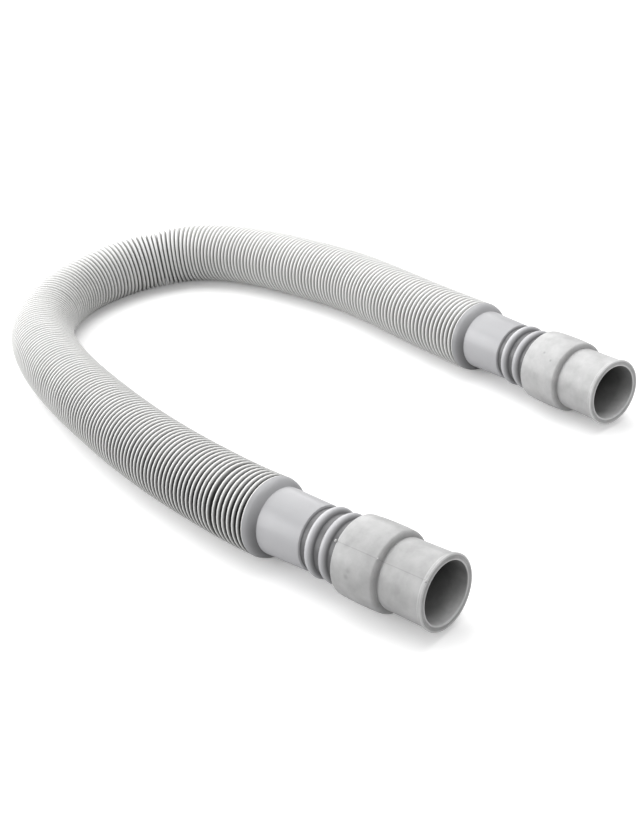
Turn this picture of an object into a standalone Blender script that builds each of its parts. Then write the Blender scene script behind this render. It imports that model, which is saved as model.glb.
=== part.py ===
"""Extendable drain hose, folded up short and lying in a hairpin.

One blow-moulded hose body, with its bellows, two plain necks and two ribbed spigots, and a
soft moulded cuff pushed over the spigot at each end. Metres, +Z up. The origin is on the
surface that the hose lies on, under the middle of the whole hose, and both mouths face -Y.
"""

from math import atan2, cos, pi, sin

import bmesh
import bpy
import numpy as np
from mathutils import Vector

# The route of the bellows' centre line over the surface, from the inlet fold to the outlet fold
ROUTE = [
    (-0.0804, -0.1015),
    (-0.08135, -0.0914),
    (-0.0822, -0.0703),
    (-0.0820, -0.0382),
    (-0.0801, -0.0061),
    (-0.0765, 0.0261),
    (-0.0717, 0.0584),
    (-0.0653, 0.0886),
    (-0.0565, 0.1157),
    (-0.0445, 0.1375),
    (-0.0286, 0.1538),
    (-0.0097, 0.1644),
    (0.0107, 0.1680),
    (0.0319, 0.1649),
    (0.0509, 0.1554),
    (0.0646, 0.1413),
    (0.0734, 0.1211),
    (0.0788, 0.0934),
    (0.0816, 0.0620),
    (0.0821, 0.0320),
    (0.0791, 0.0015),
    (0.0750, -0.0314),
    (0.0717, -0.0650),
]
ROUTE_SAMPLES = 2001

# Bellows
FOLD_COUNT = 219
CREST_RADIUS = 0.0160
FOLD_DEPTH = 0.0046
BELLOWS_WALL = 0.0010
BODY_SIDES = 12
# How much wider the folds stand, and how much closer the bore's rings, in a bend of one crest radius
FOLD_OPENING = 0.35
BORE_RING_COUNT = 18
BORE_RING_CROWDING = 10.0

# The last fold runs down a bulging cone to the plain neck
CONE_LENGTH = 0.0048
CONE_BULGE = 0.0004
NECK_START_RADIUS = 0.0132
NECK_END_RADIUS = 0.0127
NECK_LENGTH = 0.0209
NECK_WALL = 0.0010
NECK_EDGE = 0.0005

# Two open ribs between the neck and the cuff
SPIGOT_RADIUS = 0.0117
SPIGOT_WALL = 0.0009
RIB_HEIGHTS = (0.0018, 0.0016)
RIB_WIDTH = 0.0044
RIB_CROWN = 0.0020
FIRST_RIB_OFFSET = 0.0046
RIB_PITCH = 0.0066
COLLAR_GAP = 0.0062

# The spigot's length inside the cuff, with the bead that the cuff snaps over
SPIGOT_GRIP = 0.0181
BEAD_PLACE = 0.0090
BEAD_HEIGHT = 0.0008
BEAD_WIDTH = 0.0030
BEAD_CROWN = 0.0012
FIT_GAP = 0.0003

# Cuff
CUFF_SIDES = 36
COLLAR_RADIUS = 0.0151
COLLAR_CROWN = 0.0003
COLLAR_LENGTH = 0.0191
COLLAR_EDGE = 0.0008
COLLAR_NOSE = 0.0013
CUFF_NECK_DROP = 0.0003
CUFF_NECK_WIDTH = 0.0008
SPOUT_RADIUS = 0.0131
SPOUT_FLARE = 0.0002
SPOUT_LENGTH = 0.0188
LIP_RADIUS = 0.0139
LIP_LENGTH = 0.0013
LIP_RISE = 0.0006
LIP_ROUND = 0.0006
MOUTH_RADIUS = 0.0113
MOUTH_BEVEL = 0.0005

# Places along the axis of an end, counted outwards from its last fold
NECK_END = CONE_LENGTH + NECK_LENGTH
RIB_PLACES = [NECK_END + FIRST_RIB_OFFSET + i * RIB_PITCH for i in range(len(RIB_HEIGHTS))]
COLLAR_START = RIB_PLACES[-1] + COLLAR_GAP
COLLAR_END = COLLAR_START + COLLAR_LENGTH
SPIGOT_END = COLLAR_START + SPIGOT_GRIP
MOUTH_PLACE = COLLAR_END + CUFF_NECK_WIDTH + SPOUT_LENGTH

ROUND_STEPS = 3
SHARP_ANGLE = 0.6


def clear_scene():
    """Remove the objects that Blender starts with."""
    for obj in list(bpy.data.objects):
        bpy.data.objects.remove(obj)


def plastic(name, colour, roughness):
    """A plain moulded plastic."""
    material = bpy.data.materials.new(name)
    material.use_nodes = True
    shader = material.node_tree.nodes["Principled BSDF"]
    shader.inputs["Base Color"].default_value = (*colour, 1.0)
    shader.inputs["Roughness"].default_value = roughness
    shader.inputs["Metallic"].default_value = 0.0
    return material


def smooth_through(points, samples):
    """Points on the natural cubic spline that passes through the given points."""
    points = np.array(points)
    gaps = np.linalg.norm(np.diff(points, axis=0), axis=1)
    knots = np.concatenate(([0.0], np.cumsum(gaps)))
    system = np.eye(len(points))
    bends = np.zeros_like(points)
    for i in range(1, len(points) - 1):
        before, after = gaps[i - 1], gaps[i]
        system[i, i - 1 : i + 2] = before, 2 * (before + after), after
        bends[i] = 6 * ((points[i + 1] - points[i]) / after - (points[i] - points[i - 1]) / before)
    bends = np.linalg.solve(system, bends)
    at = np.linspace(0.0, knots[-1], samples)
    i = np.clip(np.searchsorted(knots, at, side="right") - 1, 0, len(gaps) - 1)
    gap, left, right = gaps[i][:, None], (knots[i + 1] - at)[:, None], (at - knots[i])[:, None]
    line = (points[i] * left + points[i + 1] * right) / gap
    line += bends[i] * (left**3 / gap - left * gap) / 6
    line += bends[i + 1] * (right**3 / gap - right * gap) / 6
    return line


class Route:
    """The centre line as a measured line: a place, a direction and a bend at each distance."""

    def __init__(self, points):
        self.line = smooth_through(points, ROUTE_SAMPLES)
        steps = np.linalg.norm(np.diff(self.line, axis=0), axis=1)
        self.along = np.concatenate(([0.0], np.cumsum(steps)))
        self.length = self.along[-1]
        slope = np.gradient(self.line, self.along, axis=0)
        self.heading = np.unwrap(np.arctan2(slope[:, 1], slope[:, 0]))
        self.bend = np.abs(np.gradient(self.heading, self.along))

    def place(self, distance, sideways, up):
        """A point beside the centre line; past either end the line goes on straight."""
        inside = min(max(distance, 0.0), self.length)
        heading = np.interp(inside, self.along, self.heading)
        x = np.interp(inside, self.along, self.line[:, 0])
        y = np.interp(inside, self.along, self.line[:, 1])
        beyond = distance - inside
        return Vector(
            (
                x + beyond * cos(heading) - sideways * sin(heading),
                y + beyond * sin(heading) + sideways * cos(heading),
                CREST_RADIUS + up,
            )
        )

    def spread(self, count, weight):
        """Distances from end to end, evenly spread by a weight given for each measured place."""
        steps = np.diff(self.along) * (weight[1:] + weight[:-1]) / 2
        share = np.concatenate(([0.0], np.cumsum(steps)))
        return np.interp(np.linspace(0.0, share[-1], count), share, self.along)

    def crest_places(self):
        """The distance of each crest; folds stand wider apart where the hose bends."""
        return self.spread(FOLD_COUNT, 1.0 / (1.0 + FOLD_OPENING * CREST_RADIUS * self.bend))

    def bore_places(self):
        """The distance of each ring of the bore; they stand closer where the hose bends."""
        return self.spread(BORE_RING_COUNT, 1.0 + BORE_RING_CROWDING * CREST_RADIUS * self.bend)


def rounded(start, corner, end):
    """An arc-like corner: points on the curve from start to end that turns at the corner."""
    points = []
    for i in range(ROUND_STEPS + 1):
        t = i / ROUND_STEPS
        weights = ((1 - t) ** 2, 2 * t * (1 - t), t**2)
        points.append(tuple(sum(w * p[k] for w, p in zip(weights, (start, corner, end))) for k in (0, 1)))
    return points


def rib(place, foot_radius, height, width, crown):
    """The section of one ring-shaped rib, foot to foot, with a narrow crown."""
    return [
        (place - width / 2, foot_radius),
        (place - crown / 2, foot_radius + height),
        (place + crown / 2, foot_radius + height),
        (place + width / 2, foot_radius),
    ]


def end_section():
    """The outside of one end of the hose body, from its last crest to the spigot's rim."""
    cone_middle = (CREST_RADIUS + NECK_START_RADIUS) / 2 + CONE_BULGE
    section = [(CONE_LENGTH / 2, cone_middle), (CONE_LENGTH, NECK_START_RADIUS)]
    section += [(NECK_END - NECK_EDGE, NECK_END_RADIUS), (NECK_END, NECK_END_RADIUS - NECK_EDGE)]
    section.append((NECK_END + NECK_EDGE, SPIGOT_RADIUS))
    for place, height in zip(RIB_PLACES, RIB_HEIGHTS):
        section += rib(place, SPIGOT_RADIUS, height, RIB_WIDTH, RIB_CROWN)
    bead = COLLAR_START + BEAD_PLACE
    section += rib(bead, SPIGOT_RADIUS, BEAD_HEIGHT, BEAD_WIDTH, BEAD_CROWN)
    section.append((SPIGOT_END, SPIGOT_RADIUS))
    return section


def end_bore():
    """The inside of one end of the hose body, from the bellows to the spigot's rim."""
    neck_bore = NECK_END_RADIUS - NECK_WALL
    return [
        (CONE_LENGTH, neck_bore),
        (NECK_END - NECK_EDGE, neck_bore),
        (NECK_END + NECK_EDGE, SPIGOT_RADIUS - SPIGOT_WALL),
        (SPIGOT_END, SPIGOT_RADIUS - SPIGOT_WALL),
    ]


def body_section(route):
    """The closed section of the whole hose body: its outside, then back along its bore."""
    crests = route.crest_places()
    root_radius = CREST_RADIUS - FOLD_DEPTH
    outside = [(-place, radius) for place, radius in reversed(end_section())]
    for i, crest in enumerate(crests):
        outside.append((crest, CREST_RADIUS))
        if i + 1 < len(crests):
            outside.append(((crest + crests[i + 1]) / 2, root_radius))
    outside += [(route.length + place, radius) for place, radius in end_section()]
    bore = [(-place, radius) for place, radius in reversed(end_bore())]
    bore += [(place, root_radius - BELLOWS_WALL) for place in route.bore_places()]
    bore += [(route.length + place, radius) for place, radius in end_bore()]
    return outside + bore[::-1]


def cuff_section():
    """The closed section of a cuff: its outside from the collar to the mouth, then back inside."""
    crown = COLLAR_RADIUS + COLLAR_CROWN
    spout_start = COLLAR_END + CUFF_NECK_WIDTH
    lip_start = MOUTH_PLACE - LIP_LENGTH
    nose_radius = COLLAR_RADIUS - COLLAR_NOSE
    neck_radius = SPOUT_RADIUS - CUFF_NECK_DROP
    section = rounded(
        (COLLAR_START, COLLAR_RADIUS - COLLAR_EDGE),
        (COLLAR_START, COLLAR_RADIUS),
        (COLLAR_START + COLLAR_EDGE, COLLAR_RADIUS),
    )
    section.append(((COLLAR_START + COLLAR_END) / 2, crown))
    section += rounded(
        (COLLAR_END - COLLAR_NOSE, COLLAR_RADIUS), (COLLAR_END, COLLAR_RADIUS), (COLLAR_END, nose_radius)
    )
    section += [(COLLAR_END + CUFF_NECK_WIDTH / 4, neck_radius), (spout_start, SPOUT_RADIUS)]
    section += [(lip_start - LIP_RISE, SPOUT_RADIUS + SPOUT_FLARE), (lip_start, LIP_RADIUS)]
    section += rounded(
        (MOUTH_PLACE - LIP_ROUND, LIP_RADIUS),
        (MOUTH_PLACE, LIP_RADIUS),
        (MOUTH_PLACE, LIP_RADIUS - LIP_ROUND),
    )
    section += [(MOUTH_PLACE, MOUTH_RADIUS + MOUTH_BEVEL), (MOUTH_PLACE - MOUTH_BEVEL, MOUTH_RADIUS)]
    socket_radius = SPIGOT_RADIUS + FIT_GAP
    socket_end = SPIGOT_END + FIT_GAP
    section += [(socket_end, MOUTH_RADIUS), (socket_end, socket_radius)]
    bead = COLLAR_START + BEAD_PLACE
    groove = rib(bead, socket_radius, BEAD_HEIGHT, BEAD_WIDTH + 2 * FIT_GAP, BEAD_CROWN + 2 * FIT_GAP)
    section += groove[::-1]
    section.append((COLLAR_START, socket_radius))
    return section


def turned(section, sides):
    """A closed section of (along, radius) points turned about the X axis into one closed body."""
    form = bmesh.new()
    ring = [form.verts.new((along, 0.0, radius)) for along, radius in section]
    edges = [form.edges.new((ring[i - 1], ring[i])) for i in range(len(ring))]
    bmesh.ops.spin(
        form, geom=ring + edges, cent=(0, 0, 0), axis=(1, 0, 0), angle=2 * pi, steps=sides, use_merge=True
    )
    bmesh.ops.recalc_face_normals(form, faces=form.faces)
    return form


def add_object(name, mesh, material):
    """A smooth-shaded object that keeps its sharp edges."""
    mesh.materials.append(material)
    mesh.shade_smooth()
    mesh.set_sharp_from_angle(angle=SHARP_ANGLE)
    obj = bpy.data.objects.new(name, mesh)
    bpy.context.scene.collection.objects.link(obj)
    return obj


def finished_mesh(name, form):
    """A mesh from a bmesh, which is freed."""
    mesh = bpy.data.meshes.new(name)
    form.to_mesh(mesh)
    form.free()
    return mesh


def make_hose_body(route, material):
    """The bellows, necks and spigots, turned straight and then carried along the route."""
    form = turned(body_section(route), BODY_SIDES)
    for vertex in form.verts:
        vertex.co = route.place(*vertex.co)
    return add_object("hose_body", finished_mesh("hose_body", form), material)


def make_cuffs(route, material):
    """Two like cuffs, one on each spigot."""
    mesh = finished_mesh("cuff", turned(cuff_section(), CUFF_SIDES))
    for name, end, outwards in (("inlet_cuff", 0.0, -1), ("outlet_cuff", route.length, 1)):
        cuff = add_object(name, mesh.copy(), material)
        here = route.place(end, 0.0, 0.0)
        mouth = route.place(end + outwards * MOUTH_PLACE, 0.0, 0.0)
        cuff.location = here
        cuff.rotation_euler.z = atan2(mouth.y - here.y, mouth.x - here.x)
    bpy.data.meshes.remove(mesh)


def main():
    clear_scene()
    route = Route(ROUTE)
    make_hose_body(route, plastic("hose_polypropylene", (0.74, 0.74, 0.76), 0.28))
    make_cuffs(route, plastic("cuff_soft_plastic", (0.60, 0.60, 0.60), 0.62))


main()
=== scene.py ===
# %% [markdown]
# # An extendable drain hose
#
# This lesson dresses a pale grey drain hose that lies folded up short in a hairpin. The hose
# itself is one blow-moulded piece: two plain necks with a run of ring-shaped folds between
# them. A soft cuff is pushed over each end. The solids of the three pieces come from the
# frame, in metres, and everything here is made around them.

# %% The frame
from math import cos, pi, radians, sin

import bmesh
import bpy
import numpy as np
from mathutils import Matrix, Vector


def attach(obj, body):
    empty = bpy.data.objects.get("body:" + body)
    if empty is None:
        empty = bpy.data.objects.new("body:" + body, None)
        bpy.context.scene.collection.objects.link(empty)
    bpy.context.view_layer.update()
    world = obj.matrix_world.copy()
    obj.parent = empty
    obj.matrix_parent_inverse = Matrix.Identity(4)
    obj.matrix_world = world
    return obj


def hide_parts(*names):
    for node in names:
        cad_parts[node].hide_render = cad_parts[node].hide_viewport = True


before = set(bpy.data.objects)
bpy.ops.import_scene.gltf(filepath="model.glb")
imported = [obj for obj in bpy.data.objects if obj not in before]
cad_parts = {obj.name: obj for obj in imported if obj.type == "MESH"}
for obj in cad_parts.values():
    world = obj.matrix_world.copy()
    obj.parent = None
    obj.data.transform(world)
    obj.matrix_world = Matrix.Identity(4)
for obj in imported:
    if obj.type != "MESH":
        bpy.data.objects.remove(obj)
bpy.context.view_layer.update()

MILLIMETRES = 1000
scene = bpy.context.scene

# %% [markdown]
# ## The camera
#
# The photograph was taken from above, to the left of the two open ends, with the camera held
# a little crooked. A camera can be set by four plain facts: where it stands, which way it
# heads over the floor, how far it tips down and how far it rolls. The lens follows from its
# focal length counted in pixels of the photograph, which is 827 pixels high.

# %% Camera
CAMERA_PLACE = Vector((-0.2797, -0.4109, 0.2619))
CAMERA_HEADING = radians(53.56)
CAMERA_TIP = radians(29.25)
CAMERA_ROLL = radians(-9.2)
PHOTO_HEIGHT = 827
FOCAL_PIXELS = 1186.6
SENSOR = 36.0


def make_camera():
    """A camera built from its heading, tip and roll."""
    level = cos(CAMERA_TIP)
    forward = Vector((level * cos(CAMERA_HEADING), level * sin(CAMERA_HEADING), -sin(CAMERA_TIP)))
    right = Vector((sin(CAMERA_HEADING), -cos(CAMERA_HEADING), 0.0))
    above = right.cross(forward)
    rolled_right = cos(CAMERA_ROLL) * right + sin(CAMERA_ROLL) * above
    rolled_up = cos(CAMERA_ROLL) * above - sin(CAMERA_ROLL) * right
    data = bpy.data.cameras.new("camera")
    data.sensor_fit = "VERTICAL"
    data.sensor_height = SENSOR
    data.lens = FOCAL_PIXELS / PHOTO_HEIGHT * SENSOR
    camera = bpy.data.objects.new("camera", data)
    turn = Matrix((rolled_right, rolled_up, -forward)).transposed()
    camera.matrix_world = Matrix.Translation(CAMERA_PLACE) @ turn.to_4x4()
    scene.collection.objects.link(camera)
    scene.camera = camera
    print("lens", round(data.lens, 1), "mm")


make_camera()

# %% [markdown]
# ## The route
#
# A hose this supple lies where it was dropped, so its route is not a formula. It is a short
# list of given points, read through a smooth curve. A natural cubic spline suits it:
# it bends as evenly as a springy strip would, and it straightens out by itself towards both
# ends, where the stiff necks begin.

# %% The centre line of the bellows
ROUTE = [
    (-0.0804, -0.1015),
    (-0.08135, -0.0914),
    (-0.0822, -0.0703),
    (-0.0820, -0.0382),
    (-0.0801, -0.0061),
    (-0.0765, 0.0261),
    (-0.0717, 0.0584),
    (-0.0653, 0.0886),
    (-0.0565, 0.1157),
    (-0.0445, 0.1375),
    (-0.0286, 0.1538),
    (-0.0097, 0.1644),
    (0.0107, 0.1680),
    (0.0319, 0.1649),
    (0.0509, 0.1554),
    (0.0646, 0.1413),
    (0.0734, 0.1211),
    (0.0788, 0.0934),
    (0.0816, 0.0620),
    (0.0821, 0.0320),
    (0.0791, 0.0015),
    (0.0750, -0.0314),
    (0.0717, -0.0650),
]
ROUTE_SAMPLES = 2001
CREST_RADIUS = 0.0160


def smooth_through(points, samples):
    """Points on the natural cubic spline that passes through the given points."""
    points = np.array(points)
    gaps = np.linalg.norm(np.diff(points, axis=0), axis=1)
    knots = np.concatenate(([0.0], np.cumsum(gaps)))
    system = np.eye(len(points))
    bends = np.zeros_like(points)
    for i in range(1, len(points) - 1):
        before, after = gaps[i - 1], gaps[i]
        system[i, i - 1 : i + 2] = before, 2 * (before + after), after
        bends[i] = 6 * ((points[i + 1] - points[i]) / after - (points[i] - points[i - 1]) / before)
    bends = np.linalg.solve(system, bends)
    at = np.linspace(0.0, knots[-1], samples)
    i = np.clip(np.searchsorted(knots, at, side="right") - 1, 0, len(gaps) - 1)
    gap, left, right = gaps[i][:, None], (knots[i + 1] - at)[:, None], (at - knots[i])[:, None]
    line = (points[i] * left + points[i + 1] * right) / gap
    line += bends[i] * (left**3 / gap - left * gap) / 6
    line += bends[i + 1] * (right**3 / gap - right * gap) / 6
    return line


route_line = smooth_through(ROUTE, ROUTE_SAMPLES)
route_along = np.concatenate(([0.0], np.cumsum(np.linalg.norm(np.diff(route_line, axis=0), axis=1))))
route_length = route_along[-1]
route_slope = np.gradient(route_line, route_along, axis=0)
route_heading = np.unwrap(np.arctan2(route_slope[:, 1], route_slope[:, 0]))
route_turn = np.gradient(route_heading, route_along)


def place(distance, sideways, up):
    """Points beside the centre line; past either end the line goes on straight."""
    inside = np.clip(distance, 0.0, route_length)
    heading = np.interp(inside, route_along, route_heading)
    x = np.interp(inside, route_along, route_line[:, 0])
    y = np.interp(inside, route_along, route_line[:, 1])
    beyond = distance - inside
    x = x + beyond * np.cos(heading) - sideways * np.sin(heading)
    y = y + beyond * np.sin(heading) + sideways * np.cos(heading)
    return np.stack(np.broadcast_arrays(x, y, CREST_RADIUS + up), axis=-1)


tightest = 1 / np.abs(route_turn).max()
print("bellows", round(route_length, 4), "m long, tightest bend", round(tightest, 4), "m")

# %% [markdown]
# ## Where the folds stand
#
# The hose has 219 crests, almost evenly spaced. Where it bends, the folds on the inside of
# the bend are already shut, so the others have to open, and on the centre line they stand a
# little wider apart. Real folds are also never quite even. Each ring slips a very little and
# gets a small yaw and tip of its own, drawn from a seeded generator, so that every run gives
# the same hose. Seven grooves gape, as bellows do where they were pulled: the folds beside
# such a groove are pushed apart, and the push fades over a few folds.

# %% Crest places
FOLD_COUNT = 219
FOLD_OPENING = 0.35
RING_SLIP = 0.00004
RING_TWIST = 0.0022
FOLD_SEED = 7
# The fold before each gaping groove, and how much wider that groove is
GAPING = [
    (6, 0.00055),
    (62, 0.00030),
    (77, 0.00015),
    (98, 0.00035),
    (123, 0.00030),
    (129, 0.00015),
    (189, 0.00025),
]
# Over how many folds the push fades
GAPE_REACH = 3.0

fold_pitch = route_length / (FOLD_COUNT - 1)
chance = np.random.default_rng(FOLD_SEED)


def crest_places():
    """The distance of each crest along the centre line."""
    weight = 1.0 / (1.0 + FOLD_OPENING * CREST_RADIUS * np.abs(route_turn))
    share = np.concatenate(([0.0], np.cumsum(np.diff(route_along) * (weight[1:] + weight[:-1]) / 2)))
    crests = np.interp(np.linspace(0.0, share[-1], FOLD_COUNT), share, route_along)
    crests[1:-1] += chance.normal(0.0, RING_SLIP, FOLD_COUNT - 2)
    for fold, gape in GAPING:
        past = np.arange(FOLD_COUNT) - fold - 0.5
        push = np.sign(past) * gape / 2 * np.exp(-(np.abs(past) - 0.5) / GAPE_REACH)
        crests[1:-1] += push[1:-1]
    return crests


def pitch_beside(turn, sideways):
    """The pitch of the folds at a distance beside the centre line, where the route turns."""
    return fold_pitch * (1.0 + FOLD_OPENING * CREST_RADIUS * np.abs(turn)) * (1.0 - turn * sideways)


crests = crest_places()
ring_yaw = chance.normal(0.0, RING_TWIST, FOLD_COUNT)
ring_tip = chance.normal(0.0, RING_TWIST, FOLD_COUNT)
# The end rings are part of the cones, so they stay square
ring_yaw[[0, -1]] = 0.0
ring_tip[[0, -1]] = 0.0
print("folds stand", round(fold_pitch * MILLIMETRES, 2), "mm apart")

# %% [markdown]
# ## The section of the hose
#
# Every part of the hose is round, so its whole shape is in one section: half of a cut through
# the middle, which is then spun about the axis. A fold is a round-backed ring about 1.6 mm
# thick with a narrow, deep groove beside it. At each end the last fold runs down a cone to
# the plain neck, and past the neck come two ribs and the spigot that hides in the cuff.

# %% Sizes of the section
FOLD_DEPTH = 0.0046
# Half of one fold: how far from its crest, and how far below it
FOLD_BACK = [
    (0.00020, 0.00002),
    (0.00048, 0.00016),
    (0.00068, 0.00042),
    (0.00080, 0.00080),
    (0.00118, 0.00230),
]
FOLD_HALF = FOLD_BACK[-2][0]
WEB_DEPTH = 0.0016
ROOT_RADIUS = CREST_RADIUS - FOLD_DEPTH
WALL = 0.0006

RIM_ROUND = 0.0007
RIM_DROP = 0.0002
CONE_LENGTH = 0.0048
CONE_BULGE = 0.0006
CONE_STEPS = 6
NECK_START_RADIUS = 0.0132
NECK_CREASE = 0.0003
NECK_END_RADIUS = 0.0127
NECK_LENGTH = 0.0209
NECK_END = CONE_LENGTH + NECK_LENGTH
NECK_WALL = 0.0010
NECK_EDGE = 0.0005
SPIGOT_RADIUS = 0.0117
SPIGOT_WALL = 0.0009
FIRST_RIB = 0.0046
RIB_PITCH = 0.0066
RIB_PLACES = [NECK_END + FIRST_RIB, NECK_END + FIRST_RIB + RIB_PITCH]
RIB_HEIGHTS = (0.0018, 0.0016)
RIB_WIDTH = 0.0036
RIB_STEPS = 12
RIB_FOOT = 0.0002
LAST_RIB_TO_COLLAR = 0.0062
COLLAR_START = RIB_PLACES[-1] + LAST_RIB_TO_COLLAR
SPIGOT_IN_CUFF = 0.0181
SPIGOT_END = COLLAR_START + SPIGOT_IN_CUFF
# Where the eye can look into the mouth, the bore is folded too
BORE_FOLDS_SEEN = 14
BORE_STEP = 6
print("neck", round(2 * NECK_END_RADIUS * MILLIMETRES, 1), "mm across")
print("spigot", round(2 * SPIGOT_RADIUS * MILLIMETRES, 1), "mm across")

# %% The ends of the section
def round_rib(middle, foot_radius, height, width):
    """The section of one rib: half an ellipse on a small foot."""
    points = [(middle - width / 2 - RIB_FOOT, foot_radius)]
    for i in range(1, RIB_STEPS):
        angle = pi - pi * i / RIB_STEPS
        points.append((middle + width / 2 * cos(angle), foot_radius + height * sin(angle)))
    points.append((middle + width / 2 + RIB_FOOT, foot_radius))
    return points


def end_outside():
    """One end's outside, from its last crest to the rim of the spigot."""
    points = []
    for i in range(CONE_STEPS + 1):
        t = i / CONE_STEPS
        radius = CREST_RADIUS - RIM_DROP + t * (NECK_START_RADIUS - CREST_RADIUS + RIM_DROP)
        points.append((RIM_ROUND + t * (CONE_LENGTH - RIM_ROUND), radius + 4 * CONE_BULGE * t * (1 - t)))
    points.append((CONE_LENGTH + NECK_CREASE, NECK_START_RADIUS))
    points.append((NECK_END - 2 * NECK_EDGE, NECK_END_RADIUS))
    points.append((NECK_END - NECK_EDGE / 2, NECK_END_RADIUS - NECK_EDGE / 4))
    points.append((NECK_END, NECK_END_RADIUS - NECK_EDGE))
    points.append((NECK_END + NECK_EDGE / 2, SPIGOT_RADIUS))
    for middle, height in zip(RIB_PLACES, RIB_HEIGHTS):
        points += round_rib(middle, SPIGOT_RADIUS, height, RIB_WIDTH)
    points.append((SPIGOT_END, SPIGOT_RADIUS))
    return points


def end_inside():
    """One end's bore, from the bellows to the rim of the spigot."""
    neck_bore = NECK_END_RADIUS - NECK_WALL
    return [
        (CONE_LENGTH, neck_bore),
        (NECK_END - NECK_EDGE, neck_bore),
        (NECK_END + NECK_EDGE, SPIGOT_RADIUS - SPIGOT_WALL),
        (SPIGOT_END, SPIGOT_RADIUS - SPIGOT_WALL),
    ]


print("each end has", len(end_outside()), "points outside")

# %% The folds of the section
def bellows_outside():
    """All the folds, laid out straight and evenly."""
    points = []
    for fold in range(FOLD_COUNT):
        middle = fold * fold_pitch
        before = FOLD_BACK if fold else FOLD_BACK[:1]
        after = FOLD_BACK if fold < FOLD_COUNT - 1 else FOLD_BACK[:1]
        points += [(middle - off, CREST_RADIUS - down) for off, down in reversed(before)]
        points += [(middle + off, CREST_RADIUS - down) for off, down in after]
        if fold < FOLD_COUNT - 1:
            points.append((middle + fold_pitch / 2, ROOT_RADIUS))
    return points


def bellows_inside():
    """The bore through the folds: folded near the ends, plain where nobody can look."""
    narrow, wide = ROOT_RADIUS - WALL, ROOT_RADIUS + WALL / 2
    points = []
    for fold in range(FOLD_COUNT - 1):
        seen = fold < BORE_FOLDS_SEEN or fold >= FOLD_COUNT - 1 - BORE_FOLDS_SEEN
        if seen:
            points += [(fold * fold_pitch, wide), ((fold + 0.5) * fold_pitch, narrow)]
        elif fold % BORE_STEP == 0:
            points.append(((fold + 0.5) * fold_pitch, narrow))
    points.append(((FOLD_COUNT - 1) * fold_pitch, wide))
    return points


print("the folds have", len(bellows_outside()), "points outside")

# %% The whole section
def hose_section():
    """The closed section of the hose: along its outside, then back through its bore."""
    outside = [(-a, r) for a, r in reversed(end_outside())] + bellows_outside()
    outside += [(route_length + a, r) for a, r in end_outside()]
    inside = [(-a, r) for a, r in reversed(end_inside())] + bellows_inside()
    inside += [(route_length + a, r) for a, r in end_inside()]
    return outside + inside[::-1]


print("the section has", len(hose_section()), "points")

# %% [markdown]
# ## Turning and laying the hose
#
# The section is drawn on a straight axis and spun all the way round, as on a lathe. The
# straight hose is then laid along the route. The crest of each fold is stiff, so it is
# carried as a ring, square to the route. The thin web in the grooves follows the route
# itself, so it opens on the outside of a bend and shuts on the inside. The flanks of a fold
# give a little too: they spread where there is room, and on the inside of a bend they are
# squeezed, so that a fold never fills more than its share of the pitch.

# %% Turn a closed section
HOSE_SIDES = 38
CUFF_SIDES = 96


def turned(section, sides, start_angle=0.0):
    """A closed section of (along, radius) points spun about the X axis."""
    form = bmesh.new()
    ring = [form.verts.new((a, r * sin(-start_angle), r * cos(start_angle))) for a, r in section]
    edges = [form.edges.new((ring[i - 1], ring[i])) for i in range(len(ring))]
    bmesh.ops.spin(
        form, geom=ring + edges, cent=(0, 0, 0), axis=(1, 0, 0), angle=2 * pi, steps=sides, use_merge=True
    )
    bmesh.ops.recalc_face_normals(form, faces=form.faces)
    return form


def as_piece(form, name, smooth_angle=radians(28)):
    """A smooth-shaded object from a bmesh, at the origin."""
    mesh = bpy.data.meshes.new(name)
    form.to_mesh(mesh)
    form.free()
    mesh.shade_smooth()
    mesh.set_sharp_from_angle(angle=smooth_angle)
    piece = bpy.data.objects.new(name, mesh)
    scene.collection.objects.link(piece)
    return piece


print("hose turned in", HOSE_SIDES, "sides, cuffs in", CUFF_SIDES)

# %% Lay the straight hose along the route
CLOSED_SHARE = 0.94
FLANK_GIVE = 0.7


def laid(points):
    """The points of the straight hose where they lie on the floor."""
    along, sideways, up = points.T
    numbers = np.arange(FOLD_COUNT)
    fold = np.clip(np.rint(along / fold_pitch), 0, FOLD_COUNT - 1).astype(int)
    offset = along - fold * fold_pitch
    in_bellows = (along > 0) & (along < route_length)
    web_place = np.where(in_bellows, np.interp(along / fold_pitch, numbers, crests), along)
    on_web = np.hypot(sideways, up) < CREST_RADIUS - WEB_DEPTH
    turn = np.interp(crests[fold], route_along, route_turn)
    room = pitch_beside(turn, sideways)
    open_share = 1.0 + FLANK_GIVE * (room / fold_pitch - 1.0)
    squeeze = np.minimum(np.maximum(open_share, 1.0), CLOSED_SHARE * room / (2 * FOLD_HALF))
    wobble = (ring_yaw[fold] * sideways + ring_tip[fold] * up) * squeeze
    ring_offset = np.where(in_bellows, offset * squeeze + wobble, offset)
    heading = np.interp(crests[fold], route_along, route_heading)
    ring_points = place(crests[fold], sideways, up)
    ring_points[:, 0] += ring_offset * np.cos(heading)
    ring_points[:, 1] += ring_offset * np.sin(heading)
    return np.where(on_web[:, None], place(web_place, sideways, up), ring_points)


bellows_ends = laid(np.array([[0.0, 0.0, 0.0], [route_length, 0.0, 0.0]]))
print("bellows laid from", bellows_ends[0].round(4), "to", bellows_ends[1].round(4))

# %% [markdown]
# ## Painted shade and highlights on the hose
#
# Hardly any light comes back out of a narrow groove, while the thin crest of a fold catches a
# little highlight. A plain colour can't show that, so each point of the mesh gets a tone, and
# the material multiplies its colour by it: painted shade in the grooves and hollows, and a
# painted highlight on the crests and ridges. In the bellows the painted shade deepens with
# the depth into the groove, set against the groove's width. As in the photograph, it deepens
# fastest at the near end, slowest in the bend, and less on top of the hose, where the light
# falls into the grooves. The cone, the neck, the ribs and the bore have painted shade of their
# own, dim in the hollows and pale on the ridges; the top of the neck is painted darker and the
# top of the cone's hollow paler. These end parts are very slightly violet, and the bellows
# very slightly warm.

# %% Painted shade of the hose
NARROWEST_GROOVE = 0.0002
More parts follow.
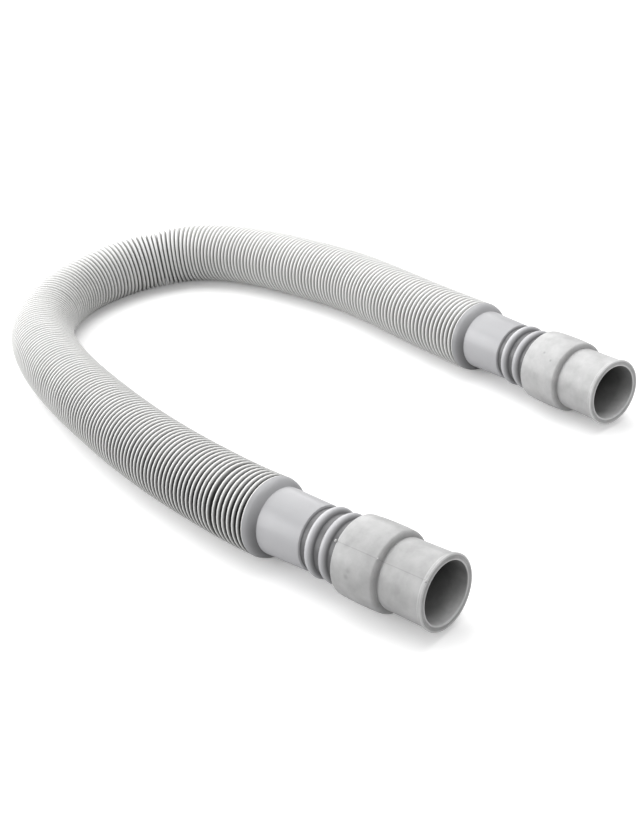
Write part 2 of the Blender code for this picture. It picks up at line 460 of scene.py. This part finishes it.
# How far down a groove, as a share, and the painted shade there, palest at the crest
SHADE_DEPTHS = (0.0, 0.10, 0.30, 0.45, 0.68)
SHADES = (0.76, 0.62, 0.44, 0.26, 0.07)
# How far along the bellows, and how fast the painted shade in the grooves deepens there
DIM_PLACES = (0.0, 0.10, 0.22, 0.32, 0.58)
DIM_RATES = (3.6, 2.4, 1.0, 0.35, 0.9)
# Heights as a share of the radius, from -1 below to 1 on top, between which a tone changes
# On top, where the light falls into the grooves, the painted shade deepens more slowly
TOP_FADE = (0.55, 0.95)
TOP_SHARE = 0.38
# The cone's painted shade, deepening from its rim into its hollow, paler on top
HOLLOW_FADE = (0.2, 0.9)
HOLLOW_PAINTED_SHADES = (0.13, 0.32)
# Painted shade on the top of the neck, then the neck's own level
NECK_FADE = (0.7, 0.95)
NECK_TOP_SHARE = 0.84
NECK_SHADE = 0.44
# The cone's painted shade at its rim
RIM_SHADE = 0.38
# How far above the spigot a rib rises, and how pale it is there: painted shade at the foot, a painted
# highlight on the crest
RIB_RISES = (0.0, 0.0010, 0.0018)
RIB_PAINTED_SHADES = (0.12, 0.32, 0.52)
# Painted shade deep in the hose's bore
HOSE_BORE_PAINTED_SHADE = 0.16
NECK_TONE = (0.97, 0.97, 1.0)
FOLD_TONE = (1.0, 1.0, 0.985)


def fold_painted_shades(along, sideways, up):
    """The painted shade of the bellows at each point, palest on the crests."""
    radius = np.hypot(sideways, up)
    depth = CREST_RADIUS - radius
    turn = np.interp(along, route_along, route_turn)
    groove = np.maximum(pitch_beside(turn, sideways) - 2 * FOLD_HALF, NARROWEST_GROOVE)
    shade = np.interp(depth / (depth + groove), SHADE_DEPTHS, SHADES)
    dim = np.interp(along, DIM_PLACES, DIM_RATES) * np.interp(up / radius, TOP_FADE, (1.0, TOP_SHARE))
    return SHADES[0] * (shade / SHADES[0]) ** dim


def end_painted_shades(along, sideways, up):
    """The painted shade of the cones, necks, spigots and the bore at each point."""
    radius = np.hypot(sideways, up)
    height = up / radius
    beyond = np.maximum(-along, along - route_length)
    hollow = np.interp(height, HOLLOW_FADE, HOLLOW_PAINTED_SHADES)
    on_cone = RIM_SHADE + np.clip(beyond / CONE_LENGTH, 0.0, 1.0) * (hollow - RIM_SHADE)
    on_neck = NECK_SHADE * np.interp(height, NECK_FADE, (1.0, NECK_TOP_SHARE))
    on_spigot = np.interp(radius - SPIGOT_RADIUS, RIB_RISES, RIB_PAINTED_SHADES)
    shade = np.where(beyond > CONE_LENGTH + NECK_CREASE / 2, on_neck, on_cone)
    shade = np.where(beyond > NECK_END, on_spigot, shade)
    return np.where(radius < SPIGOT_RADIUS - WALL, HOSE_BORE_PAINTED_SHADE, shade)


def hose_tints_and_painted_shades(points):
    """The tone of each point of the straight hose, its painted shade times a slight tint, as red, green,
    blue and alpha.
    """
    in_bellows = (points[:, 0] > 0) & (points[:, 0] < route_length)
    shade = np.where(in_bellows, fold_painted_shades(*points.T), end_painted_shades(*points.T))
    tone = np.where(in_bellows[:, None], FOLD_TONE, NECK_TONE)
    return np.column_stack((shade[:, None] * tone, np.ones(len(shade))))

# %% Make the hose
def make_hose():
    """The bellows, necks and spigots in one piece."""
    piece = as_piece(turned(hose_section(), HOSE_SIDES), "bellows_hose")
    mesh = piece.data
    points = np.empty(len(mesh.vertices) * 3)
    mesh.vertices.foreach_get("co", points)
    points = points.reshape(-1, 3)
    tone = mesh.attributes.new("tone", "FLOAT_COLOR", "POINT")
    tone.data.foreach_set("color", hose_tints_and_painted_shades(points).ravel())
    mesh.vertices.foreach_set("co", laid(points).ravel())
    mesh.update()
    print("the hose has", len(mesh.polygons), "faces")
    return piece


hose = make_hose()

# %% [markdown]
# ## The cuffs
#
# Each cuff is moulded in soft plastic: a wide collar that grips the spigot, a narrow groove,
# and a plain spout with a rounded lip. It is turned like the hose, but the spin starts on the
# moulding line, so that a row of edges runs along it. Those edges are bevelled to a narrow
# strip whose middle stands a few hundredths of a millimetre proud, as flash does. Three
# little balls, set into the edges of the inlet cuff, are bits of flash that nobody trimmed.
# The cuffs carry a tone too: painted shade makes the bore dim inwards and palest along its
# floor, a painted highlight makes the lip's ridges pale, and the moulding line is a shade
# darker than the plastic beside it. The outlet cuff is painted paler all over, as painted
# light, and the inlet cuff is a little darker all over.

# %% Sizes of a cuff
COLLAR_RADIUS = 0.0151
COLLAR_CROWN = 0.0003
COLLAR_LENGTH = 0.0191
COLLAR_END = COLLAR_START + COLLAR_LENGTH
COLLAR_EDGE = 0.0007
COLLAR_NOSE = 0.0014
CUFF_NECK_WIDTH = 0.0008
CUFF_NECK_RADIUS = 0.0128
SPOUT_RADIUS = 0.0131
SPOUT_FLARE = 0.0002
SPOUT_LENGTH = 0.0188
MOUTH_PLACE = COLLAR_END + CUFF_NECK_WIDTH + SPOUT_LENGTH
LIP_RADIUS = 0.0139
LIP_LENGTH = 0.0013
LIP_RISE = 0.0006
LIP_ROUND = 0.0006
LIP_HOLLOW = 0.00030
LIP_RIDGE = 0.0003
MOUTH_RADIUS = 0.0113
MOUTH_ROUND = 0.0005
FIT_GAP = 0.0003
BEAD_IN_CUFF = 0.0090
BEAD_PLACE = COLLAR_START + BEAD_IN_CUFF
BEAD_HEIGHT = 0.0008
BEAD_HALF = 0.0018
SEAM_WIDTH = 0.00040
SEAM_HEIGHT = 0.00005
NEAR_SEAM_ANGLE = radians(38.5)
FAR_SEAM_ANGLE = NEAR_SEAM_ANGLE + pi / 2
# A step too small to see, and the tolerance for points that should be in one place
SMALL_STEP = 0.0001
SAME_PLACE = 1e-6
# How deep behind the mouth, and how pale the bore's painted shade leaves it there
BORE_DEPTHS = (MOUTH_ROUND, 0.0075, MOUTH_PLACE - SPIGOT_END)
BORE_PAINTED_SHADES = (1.6, 0.8, 0.3)
# How high in the bore, as a share of its radius, and how much paler or dimmer the painted shade makes it
# there
BORE_HEIGHTS = (-0.9, -0.3, 0.1)
BORE_HEIGHT_PAINTED_SHADES = (1.25, 0.55, 0.36)
# A painted highlight on the lip's ridges, left off the hollow between them
LIP_PAINTED_HIGHLIGHT = 1.5
LIP_HOLLOW_SHADE = 1.0
SEAM_SHADE = 0.78
# The inlet cuff is a little darker all over; the outlet cuff is painted paler, as painted light
INLET_SHADE = 0.93
OUTLET_PAINTED_LIGHT = 1.06
print("collar", round(2 * (COLLAR_RADIUS + COLLAR_CROWN) * MILLIMETRES, 1), "mm across")
print("mouth", round(2 * MOUTH_RADIUS * MILLIMETRES, 1), "mm across")

# %% Section of a cuff
def corner(along, radius, size, from_angle, steps=6):
    """A quarter round of a given size, turning from one angle through 90 degrees clockwise."""
    points = []
    for i in range(steps + 1):
        angle = from_angle - i * pi / 2 / steps
        points.append((along + size * cos(angle), radius + size * sin(angle)))
    return points


def cuff_section():
    """The closed section of a cuff: outside from collar to mouth, then back inside."""
    lip_start = MOUTH_PLACE - LIP_LENGTH
    points = corner(COLLAR_START + COLLAR_EDGE, COLLAR_RADIUS - COLLAR_EDGE, COLLAR_EDGE, pi)
    for t in (0.25, 0.5, 0.75):
        crown = COLLAR_RADIUS + 4 * COLLAR_CROWN * t * (1 - t)
        points.append((COLLAR_START + t * (COLLAR_END - COLLAR_START), crown))
    points += corner(COLLAR_END - COLLAR_NOSE, COLLAR_RADIUS - COLLAR_NOSE, COLLAR_NOSE, pi / 2)
    points.append((COLLAR_END + SMALL_STEP, CUFF_NECK_RADIUS))
    points.append((COLLAR_END + CUFF_NECK_WIDTH - SMALL_STEP, CUFF_NECK_RADIUS))
    points.append((COLLAR_END + CUFF_NECK_WIDTH + 2 * SMALL_STEP, SPOUT_RADIUS))
    points.append((lip_start - LIP_RISE, SPOUT_RADIUS + SPOUT_FLARE))
    points.append((lip_start, LIP_RADIUS - SMALL_STEP))
    points += corner(MOUTH_PLACE - LIP_ROUND, LIP_RADIUS - LIP_ROUND, LIP_ROUND, pi / 2)
    points.append((MOUTH_PLACE - LIP_HOLLOW, LIP_RADIUS - LIP_ROUND - LIP_RIDGE))
    points.append((MOUTH_PLACE - LIP_HOLLOW, MOUTH_RADIUS + MOUTH_ROUND + LIP_RIDGE))
    points += corner(MOUTH_PLACE - MOUTH_ROUND, MOUTH_RADIUS + MOUTH_ROUND, MOUTH_ROUND, 0.0)
    socket = SPIGOT_RADIUS + FIT_GAP
    points.append((MOUTH_PLACE - BORE_DEPTHS[1], MOUTH_RADIUS))
    points += [(SPIGOT_END + FIT_GAP, MOUTH_RADIUS), (SPIGOT_END + FIT_GAP, socket)]
    points += [(BEAD_PLACE + BEAD_HALF, socket), (BEAD_PLACE + BEAD_HALF / 2, socket + BEAD_HEIGHT)]
    points += [(BEAD_PLACE - BEAD_HALF / 2, socket + BEAD_HEIGHT), (BEAD_PLACE - BEAD_HALF, socket)]
    points.append((COLLAR_START, socket))
    return points


print("the section of a cuff has", len(cuff_section()), "points")

# %% Make both cuffs
# The outside of a cuff is nowhere nearer to its axis than this
OUTSIDE_FROM = CUFF_NECK_RADIUS - 0.0005


def on_seam(vertex, angle):
    """Whether a point lies on the moulding line, outside the cuff."""
    radial = Vector((0.0, vertex.co.y, vertex.co.z))
    across = radial.dot(Vector((0.0, -sin(angle), cos(angle))))
    return radial.length > OUTSIDE_FROM and abs(abs(across) - radial.length) < SAME_PLACE


def raise_seam(form, angle):
    """Bevel the two lengthwise rows of edges on the moulding line and lift their middle."""
    line = [e for e in form.edges if on_seam(e.verts[0], angle) and on_seam(e.verts[1], angle)]
    bmesh.ops.bevel(
        form, geom=line, offset=SEAM_WIDTH / 2, affect="EDGES", segments=2, profile=0.5, material=-1
    )
    for vertex in form.verts:
        if on_seam(vertex, angle):
            radial = Vector((0.0, vertex.co.y, vertex.co.z))
            vertex.co += radial.normalized() * SEAM_HEIGHT


def cuff_painted_shade_and_highlight(depth, sideways, up):
    """The painted shade or highlight on a cuff, at a depth behind its mouth and a place beside its axis.
    """
    radius = np.hypot(sideways, up)
    if radius < MOUTH_RADIUS + SMALL_STEP:
        inwards = np.interp(depth, BORE_DEPTHS, BORE_PAINTED_SHADES)
        return inwards * np.interp(up / radius, BORE_HEIGHTS, BORE_HEIGHT_PAINTED_SHADES)
    if depth > MOUTH_ROUND:
        return 1.0
    in_hollow = MOUTH_RADIUS + MOUTH_ROUND + SMALL_STEP < radius < LIP_RADIUS - LIP_ROUND - SMALL_STEP
    return LIP_HOLLOW_SHADE if in_hollow else LIP_PAINTED_HIGHLIGHT


def make_cuff(name, end, outwards, seam_angle, shade_of_cuff):
    """One cuff on the spigot at one end of the hose."""
    form = turned(cuff_section(), CUFF_SIDES, seam_angle)
    raise_seam(form, seam_angle)
    piece = as_piece(form, name, radians(30))
    tone = piece.data.attributes.new("tone", "FLOAT_COLOR", "POINT")
    for vertex, value in zip(piece.data.vertices, tone.data):
        shade = shade_of_cuff * cuff_painted_shade_and_highlight(MOUTH_PLACE - vertex.co.x, vertex.co.y, vertex.co.z)
        shade *= SEAM_SHADE if on_seam(vertex, seam_angle) else 1.0
        value.color = (shade, shade, shade, 1.0)
    here, mouth = place(np.array([end, end + outwards * MOUTH_PLACE]), 0.0, 0.0)
    axis = Vector(mouth - here).normalized()
    across = Vector((0.0, 0.0, 1.0)).cross(axis)
    turn = Matrix((axis, across, Vector((0.0, 0.0, 1.0)))).transposed().to_4x4()
    piece.data.transform(Matrix.Translation(Vector(here)) @ turn)
    print(name, "has", len(piece.data.polygons), "faces")
    return piece


inlet_cuff = make_cuff("inlet_cuff_soft", 0.0, -1, NEAR_SEAM_ANGLE, INLET_SHADE)
outlet_cuff = make_cuff("outlet_cuff_soft", route_length, 1, FAR_SEAM_ANGLE, OUTLET_PAINTED_LIGHT)

# %% Bits of flash
FLASH_ANGLE = NEAR_SEAM_ANGLE + pi / 2
# Each bit: how far past the bellows, its angle, its distance from the axis and its own radius
FLASH = [
    (COLLAR_START - 0.0002, FLASH_ANGLE, COLLAR_RADIUS, 0.00060),
    (COLLAR_END - 0.0006, FLASH_ANGLE, COLLAR_RADIUS - 0.0002, 0.00045),
    (MOUTH_PLACE - 0.0005, FLASH_ANGLE + 0.03, LIP_RADIUS - 0.0002, 0.00050),
]


def near_point(along, angle, radius):
    """A point on the near end: how far past the bellows, and the angle from +X up over the top."""
    return Vector(place(np.array(-along), -radius * cos(angle), radius * sin(angle)))


def far_point(along, angle, radius):
    """The same on the far end."""
    return Vector(place(np.array(route_length + along), radius * cos(angle), radius * sin(angle)))


def add_flash(piece):
    """Little bits of flash left on the near end's edges, each a ball set into the surface."""
    form = bmesh.new()
    form.from_mesh(piece.data)
    for along, angle, distance, size in FLASH:
        at = Matrix.Translation(near_point(along, angle, distance))
        ball = bmesh.ops.create_icosphere(form, subdivisions=2, radius=size, matrix=at)
        for face in {face for vertex in ball["verts"] for face in vertex.link_faces}:
            face.smooth = True
    tone = form.verts.layers.float_color["tone"]
    for vertex in form.verts:
        # Only the balls' own points have no tone yet
        if vertex[tone][3] == 0.0:
            vertex[tone] = (1.0, 1.0, 1.0, 1.0)
    form.to_mesh(piece.data)
    form.free()


add_flash(inlet_cuff)
print("bits of flash", len(FLASH))

# %% [markdown]
# ## Finishes
#
# The hose is glossy polypropylene, pale grey, with a soft waviness from the mould. The cuffs
# are a softer plastic, duller and darker, clouded where they were handled, with a few small
# spots on their collars. Both finishes are noise in the object's own coordinates, so that
# they stay on the surface, and both are multiplied by the tone that the mesh carries, with
# its painted shade and highlights.

# %% Helpers for node materials
# The noise seldom leaves this range
NOISE_LOW = 0.3
NOISE_HIGH = 0.7


def new_material(name):
    """A material with its node tree and shader."""
    material = bpy.data.materials.new(name)
    material.use_nodes = True
    tree = material.node_tree
    return material, tree, tree.nodes["Principled BSDF"]


def noise(tree, scale, detail=3.0, roughness=0.5):
    """A noise pattern in the object's own coordinates."""
    coordinates = tree.nodes.new("ShaderNodeTexCoord")
    pattern = tree.nodes.new("ShaderNodeTexNoise")
    pattern.inputs["Scale"].default_value = scale
    pattern.inputs["Detail"].default_value = detail
    pattern.inputs["Roughness"].default_value = roughness
    tree.links.new(coordinates.outputs["Object"], pattern.inputs["Vector"])
    return pattern.outputs["Fac"]


def ramp(tree, value, *stops):
    """A colour ramp with (position, colour) stops."""
    node = tree.nodes.new("ShaderNodeValToRGB")
    node.color_ramp.elements[0].position = stops[0][0]
    node.color_ramp.elements[0].color = (*stops[0][1], 1.0)
    node.color_ramp.elements[1].position = stops[-1][0]
    node.color_ramp.elements[1].color = (*stops[-1][1], 1.0)
    for position, colour in stops[1:-1]:
        node.color_ramp.elements.new(position).color = (*colour, 1.0)
    tree.links.new(value, node.inputs["Fac"])
    return node.outputs["Color"]


def spread_between(tree, value, low, high):
    """A noise value stretched between two numbers."""
    node = tree.nodes.new("ShaderNodeMapRange")
    node.inputs["From Min"].default_value = NOISE_LOW
    node.inputs["From Max"].default_value = NOISE_HIGH
    node.inputs["To Min"].default_value = low
    node.inputs["To Max"].default_value = high
    tree.links.new(value, node.inputs["Value"])
    return node.outputs["Result"]


def bump(tree, shader, height, strength, distance):
    """A bump on the shader from a height pattern."""
    node = tree.nodes.new("ShaderNodeBump")
    node.inputs["Strength"].default_value = strength
    node.inputs["Distance"].default_value = distance
    tree.links.new(height, node.inputs["Height"])
    tree.links.new(node.outputs["Normal"], shader.inputs["Normal"])


def toned(tree, colour, shader):
    """Put the colour on the shader, multiplied by the tone that the mesh carries, with its painted shade
    and highlights.
    """
    tone = tree.nodes.new("ShaderNodeAttribute")
    tone.attribute_name = "tone"
    product = tree.nodes.new("ShaderNodeMix")
    product.data_type = "RGBA"
    product.blend_type = "MULTIPLY"
    product.inputs["Factor"].default_value = 1.0
    tree.links.new(colour, product.inputs["A"])
    tree.links.new(tone.outputs["Color"], product.inputs["B"])
    tree.links.new(product.outputs["Result"], shader.inputs["Base Color"])


def smudge(tree, colour, centre, radius, shade):
    """The colour with one soft-edged darker spot."""
    coordinates = tree.nodes.new("ShaderNodeTexCoord")
    away = tree.nodes.new("ShaderNodeVectorMath")
    away.operation = "DISTANCE"
    away.inputs[1].default_value = centre
    tree.links.new(coordinates.outputs["Object"], away.inputs[0])
    inside = tree.nodes.new("ShaderNodeMapRange")
    inside.interpolation_type = "SMOOTHSTEP"
    inside.inputs["From Min"].default_value = radius
    inside.inputs["From Max"].default_value = 0.0
    tree.links.new(away.outputs["Value"], inside.inputs["Value"])
    darkened = tree.nodes.new("ShaderNodeMix")
    darkened.data_type = "RGBA"
    darkened.blend_type = "MULTIPLY"
    darkened.inputs["B"].default_value = (shade, shade, shade, 1.0)
    tree.links.new(inside.outputs["Result"], darkened.inputs["Factor"])
    tree.links.new(colour, darkened.inputs["A"])
    return darkened.outputs["Result"]


print("helpers ready")

# %% The two plastics
# Spots on the collars: where each one is, its radius and its shade
SMUDGES = [
    (near_point(0.0510, radians(167), COLLAR_RADIUS), 0.0016, 0.72),
    (near_point(0.0516, radians(158), COLLAR_RADIUS), 0.0014, 0.82),
    (near_point(0.0480, radians(128), COLLAR_RADIUS), 0.0022, 0.86),
    (far_point(0.0523, radians(126), COLLAR_RADIUS), 0.0009, 0.60),
    (far_point(0.0573, radians(134), COLLAR_RADIUS), 0.0009, 0.66),
]


def hose_plastic():
    """Glossy pale grey polypropylene."""
    material, tree, shader = new_material("glossy_grey_polypropylene")
    colour = ramp(tree, noise(tree, 60.0), (0.35, (0.95, 0.95, 0.95)), (0.65, (1.0, 1.0, 1.0)))
    toned(tree, colour, shader)
    tree.links.new(spread_between(tree, noise(tree, 90.0), 0.30, 0.38), shader.inputs["Roughness"])
    shader.inputs["IOR"].default_value = 1.49
    bump(tree, shader, noise(tree, 180.0, 2.0), 0.10, 0.0004)
    return material


def cuff_plastic():
    """Dull grey soft plastic, slightly clouded."""
    material, tree, shader = new_material("dull_grey_soft_plastic")
    clouds = noise(tree, 130.0, 4.0, 0.6)
    colour = ramp(
        tree, clouds, (0.32, (0.34, 0.34, 0.34)), (0.5, (0.40, 0.40, 0.40)), (0.68, (0.45, 0.45, 0.45))
    )
    for centre, radius, shade in SMUDGES:
        colour = smudge(tree, colour, centre, radius, shade)
    toned(tree, colour, shader)
    tree.links.new(spread_between(tree, noise(tree, 300.0), 0.28, 0.42), shader.inputs["Roughness"])
    shader.inputs["IOR"].default_value = 1.46
    bump(tree, shader, noise(tree, 1400.0, 3.0), 0.12, 0.0002)
    return material


hose.data.materials.append(hose_plastic())
soft_plastic = cuff_plastic()
for cuff in (inlet_cuff, outlet_cuff):
    cuff.data.materials.append(soft_plastic)
print("finishes made, with", len(SMUDGES), "spots on the collars")

# %% [markdown]
# ## The floor and the light
#
# The photograph was taken in a white room, so most of the light is even and comes from all
# sides. The world is that room: white to the camera and in reflections, and a little over
# half as bright as a light. A wide lamp overhead and two walls of light, one behind the hose
# and one to its left, add the soft shading. The floor is white to the camera, by its own
# colour and a faint glow, and greyer for the light that it throws back. It keeps the soft
# shadow right under the hose.

# %% The floor
FLOOR_RADIUS = 6.0
FLOOR_SIDES = 64
FLOOR_COLOUR = 0.64
FLOOR_COLOUR_SEEN = 0.95
FLOOR_GLOW = 0.20


def white_floor():
    """A round white floor that keeps the shadow."""
    form = bmesh.new()
    bmesh.ops.create_circle(form, cap_ends=True, segments=FLOOR_SIDES, radius=FLOOR_RADIUS)
    floor = as_piece(form, "floor")
    material, tree, shader = new_material("white_floor")
    shader.inputs["Roughness"].default_value = 0.9
    shader.inputs["Specular IOR Level"].default_value = 0.0
    shader.inputs["Emission Color"].default_value = (1.0, 1.0, 1.0, 1.0)
    path = tree.nodes.new("ShaderNodeLightPath")
    colour = tree.nodes.new("ShaderNodeMapRange")
    colour.inputs["To Min"].default_value = FLOOR_COLOUR
    colour.inputs["To Max"].default_value = FLOOR_COLOUR_SEEN
    tree.links.new(path.outputs["Is Camera Ray"], colour.inputs["Value"])
    tree.links.new(colour.outputs["Result"], shader.inputs["Base Color"])
    glow = tree.nodes.new("ShaderNodeMath")
    glow.operation = "MULTIPLY"
    glow.inputs[1].default_value = FLOOR_GLOW
    tree.links.new(path.outputs["Is Camera Ray"], glow.inputs[0])
    tree.links.new(glow.outputs["Value"], shader.inputs["Emission Strength"])
    floor.data.materials.append(material)


white_floor()
print("floor", 2 * FLOOR_RADIUS, "m across")

# %% The white room
WORLD_LEVEL = 0.56


def white_world():
    """A white room: full white to the camera and in reflections, dimmer as a light."""
    world = bpy.data.worlds.new("white_room")
    world.use_nodes = True
    tree = world.node_tree
    background = tree.nodes["Background"]
    background.inputs["Color"].default_value = (1.0, 1.0, 1.0, 1.0)
    path = tree.nodes.new("ShaderNodeLightPath")
    level = tree.nodes.new("ShaderNodeMapRange")
    level.inputs["To Min"].default_value = WORLD_LEVEL
    level.inputs["To Max"].default_value = 1.0
    seen = tree.nodes.new("ShaderNodeMath")
    seen.operation = "MAXIMUM"
    tree.links.new(path.outputs["Is Camera Ray"], seen.inputs[0])
    tree.links.new(path.outputs["Is Glossy Ray"], seen.inputs[1])
    tree.links.new(seen.outputs["Value"], level.inputs["Value"])
    tree.links.new(level.outputs["Result"], background.inputs["Strength"])
    scene.world = world


white_world()
print("room lit at", WORLD_LEVEL)

# %% The lamps
# Each lamp's name, place, width, height and watts
LAMPS = [
    ("overhead_lamp", (0.25, 0.25, 1.1), 1.6, 1.2, 14.0),
    ("back_wall", (0.3, 1.7, 0.75), 3.2, 1.4, 28.0),
    ("left_wall", (-1.0, 1.0, 0.6), 1.6, 1.0, 14.0),
]


def soft_lamp(name, lamp_place, width, height, watts):
    """A wide area lamp that points at the origin."""
    data = bpy.data.lights.new(name, "AREA")
    data.shape = "RECTANGLE"
    data.size = width
    data.size_y = height
    data.energy = watts
    lamp = bpy.data.objects.new(name, data)
    lamp.location = lamp_place
    lamp.rotation_euler = (-Vector(lamp_place)).to_track_quat("-Z", "Y").to_euler()
    scene.collection.objects.link(lamp)


for lamp in LAMPS:
    soft_lamp(*lamp)
scene.view_settings.view_transform = "Standard"
print("lamps", len(LAMPS))

# %% [markdown]
# ## Joining the frame
#
# Nothing here moves by itself, so every piece rides on the one body. Each piece stands for
# the solid of the same shape, which is hidden, and the line that the hose follows is sampled
# about every centimetre, from one spigot end to the other.

HOSE_LINE_STEP = 0.01
for piece, node, slot in (
    (hose, "hose_body", "hose"),
    (inlet_cuff, "inlet_cuff", "cuff"),
    (outlet_cuff, "outlet_cuff", "cuff"),
):
    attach(piece, "root")
    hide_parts(node)

line_count = int((route_length + 2 * SPIGOT_END) / HOSE_LINE_STEP)
hose_line = place(np.linspace(-SPIGOT_END, route_length + SPIGOT_END, line_count), 0.0, 0.0)
